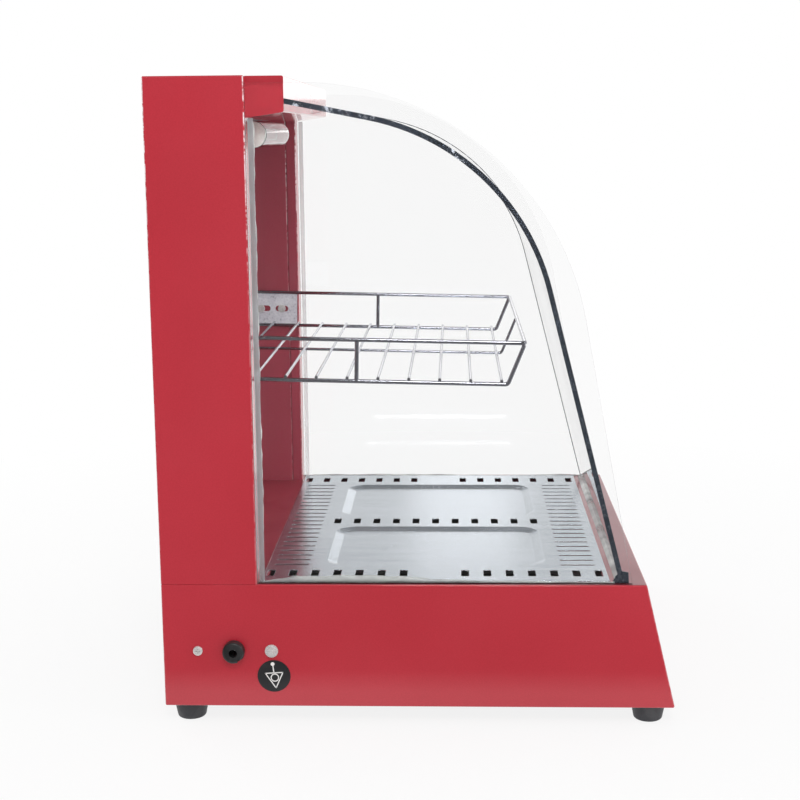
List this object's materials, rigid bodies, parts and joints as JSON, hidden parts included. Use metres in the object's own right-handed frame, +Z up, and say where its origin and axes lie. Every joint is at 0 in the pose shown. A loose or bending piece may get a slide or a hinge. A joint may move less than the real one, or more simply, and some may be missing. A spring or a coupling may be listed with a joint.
{
  "type": "countertop food warmer",
  "caption": "Countertop food warmer with a folded red case, curved front glass, flat side panes, a wire shelf, a perforated floor plate and sliding rear doors.",
  "frame": {"origin": "on the table, under the middle of the whole warmer, the gland on its left side counted in", "axes": "+Z up, -Y towards the curved glass front, +X to the right of someone who looks at that front from outside, so the cable gland is on the -X side"},
  "size_m": [0.469, 0.4896, 0.613],
  "materials": {
    "red_enamel": "gloss",
    "galvanised": "matt",
    "panel_steel": "brushed",
    "clear_glass": "clear",
    "black_rubber": "matt",
    "clear_silicone": "translucent",
    "plate_steel": "brushed",
    "wire_chrome": "bright",
    "bright_screw": "bright",
    "white_holder": "glazed",
    "cap_metal": "satin",
    "filament_wire": "dark",
    "track_alloy": "satin",
    "pull_plastic": "gloss",
    "control_plastic": "satin",
    "rocker_plastic": "gloss",
    "pilot_lens": "gloss",
    "thermostat_case": "matt",
    "element_sheath": "heat-dulled",
    "block_plastic": "matt"
  },
  "bodies": {
    "cabinet": {"base_bottom": "galvanised", "base_wrap": "red_enamel", "bonding_terminal": "bright_screw", "cable_gland": "control_plastic", "column_cover_left": "red_enamel", "column_cover_right": "red_enamel", "column_left": "red_enamel", "column_right": "red_enamel", "control_panel": "panel_steel", "door_track_bottom": "track_alloy", "door_track_top": "track_alloy", "edge_strip_left": "clear_silicone", "edge_strip_right": "clear_silicone", "element_left": "element_sheath", "element_right": "element_sheath", "element_saddle_front": "galvanised", "element_saddle_rear": "galvanised", "foot_front_left": "black_rubber", "foot_front_right": "black_rubber", "foot_rear_left": "black_rubber", "foot_rear_right": "black_rubber", "front_beam": "red_enamel", "front_glass": "clear_glass", "glass_gasket_left": "black_rubber", "glass_gasket_right": "black_rubber", "heat_shield": "galvanised", "heat_switch_housing": "control_plastic", "hood": "red_enamel", "hood_cover": "galvanised", "lamp_bulb": "clear_glass", "lamp_cap": "cap_metal", "lamp_filament": "filament_wire", "lamp_holder": "white_holder", "light_switch_housing": "control_plastic", "lug_screw_left_front": "bright_screw", "lug_screw_left_rear": "bright_screw", "lug_screw_right_front": "bright_screw", "lug_screw_right_rear": "bright_screw", "pilot_lamp": "pilot_lens", "side_pane_left": "clear_glass", "side_pane_right": "clear_glass", "side_screw": "bright_screw", "sill_bead": "clear_silicone", "terminal_block": "block_plastic", "thermostat_body": "thermostat_case"},
    "floor_tray": {"floor_plate": "plate_steel"},
    "shelf": {"shelf_rim": "wire_chrome", "shelf_grid": "wire_chrome", "shelf_lug_left": "wire_chrome", "shelf_lug_right": "wire_chrome"},
    "left_door": {"door_left": "clear_glass", "door_pull_left": "pull_plastic"},
    "right_door": {"door_right": "clear_glass", "door_pull_right": "pull_plastic"},
    "knob": {"thermostat_knob": "control_plastic"},
    "heat_rocker": {"heat_switch_rocker": "rocker_plastic"},
    "light_rocker": {"light_switch_rocker": "rocker_plastic"}
  },
  "joints": [
    {"name": "floor_plate_lift", "type": "slide", "parent": "cabinet", "child": "floor_tray", "axis": [0, 0, 1], "range_m": [0, 0.025]},
    {"name": "shelf_adjust", "type": "slide", "parent": "cabinet", "child": "shelf", "axis": [0, 1, 0], "range_m": [-0.0015, 0.005]},
    {"name": "left_door_slide", "type": "slide", "parent": "cabinet", "child": "left_door", "axis": [1, 0, 0], "range_m": [0, 0.192]},
    {"name": "right_door_slide", "type": "slide", "parent": "cabinet", "child": "right_door", "axis": [-1, 0, 0], "range_m": [0, 0.192]},
    {"name": "thermostat_turn", "type": "hinge", "parent": "cabinet", "child": "knob", "pos_m": [0.1245, 0.221, 0.082], "axis": [0, 1, 0], "range_deg": [-270, 0]},
    {"name": "heat_switch", "type": "hinge", "parent": "cabinet", "child": "heat_rocker", "pos_m": [-0.0555, 0.218, 0.082], "axis": [1, 0, 0], "range_deg": [0, 14]},
    {"name": "light_switch", "type": "hinge", "parent": "cabinet", "child": "light_rocker", "pos_m": [-0.0155, 0.218, 0.082], "axis": [1, 0, 0], "range_deg": [0, 14]}
  ]
}
